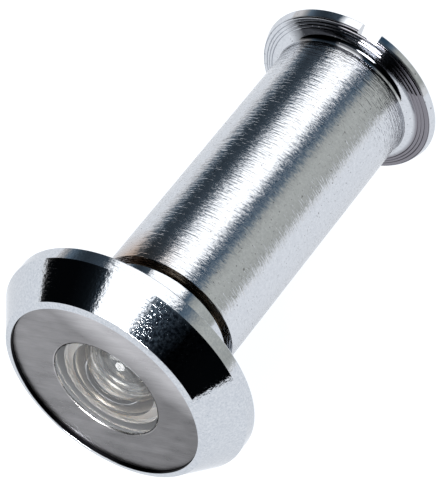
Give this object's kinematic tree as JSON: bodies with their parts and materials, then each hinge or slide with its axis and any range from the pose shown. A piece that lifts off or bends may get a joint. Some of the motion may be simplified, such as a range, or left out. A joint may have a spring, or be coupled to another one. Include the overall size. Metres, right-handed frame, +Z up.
{
  "type": "door viewer",
  "caption": "Tubular door viewer: a flanged lens housing with a brushed face and wide-angle lens, screwed into a slotted, flanged sleeve that clamps it in a door.",
  "frame": {"origin": "on the viewer's axis, at the back face of the front flange, which rests on the door's outer face", "axes": "+Y along the viewer's axis from outdoors to indoors, +Z up, +X to the right seen from outdoors"},
  "size_m": [0.0254, 0.0441, 0.0254],
  "materials": {
    "polished_chrome": "mirror-polished chrome plate on brass",
    "satin_chrome": "satin chrome plate, brushed around the tube",
    "brushed_face": "fine straight brushing",
    "lens_glass": "polished clear glass",
    "seal_rubber": "matt, greyish tan",
    "ring_brass": "turned, lightly plated brass",
    "ring_plated": "turned and plated",
    "black_plastic": "matt black"
  },
  "bodies": {
    "housing": {"lens_housing": "polished_chrome", "face_plate": "brushed_face", "objective_lens": "lens_glass", "objective_seal": "seal_rubber", "second_lens": "lens_glass", "front_spacer": "ring_brass", "third_lens": "lens_glass", "rear_spacer": "ring_brass", "aperture_stop": "black_plastic", "lens_lock_ring": "ring_brass"},
    "eyepiece": {"eyepiece_washer": "black_plastic", "eyepiece_lens": "lens_glass"},
    "indoor_sleeve": {"sleeve": "satin_chrome", "eyepiece_lock_ring": "ring_plated"}
  },
  "joints": [
    {"name": "sleeve_travel", "type": "slide", "parent": "housing", "child": "eyepiece", "axis": [0, 1, 0], "range_m": [-0.0006, 0.045]},
    {"name": "sleeve_turn", "type": "hinge", "parent": "eyepiece", "child": "indoor_sleeve", "pos_m": [0, 0, 0], "axis": [0, 1, 0], "range_deg": [-216, 16200]}
  ],
  "couplings": [
    {"joint": "sleeve_travel", "follows": "sleeve_turn", "m_per_rad": 0.00015915}
  ]
}
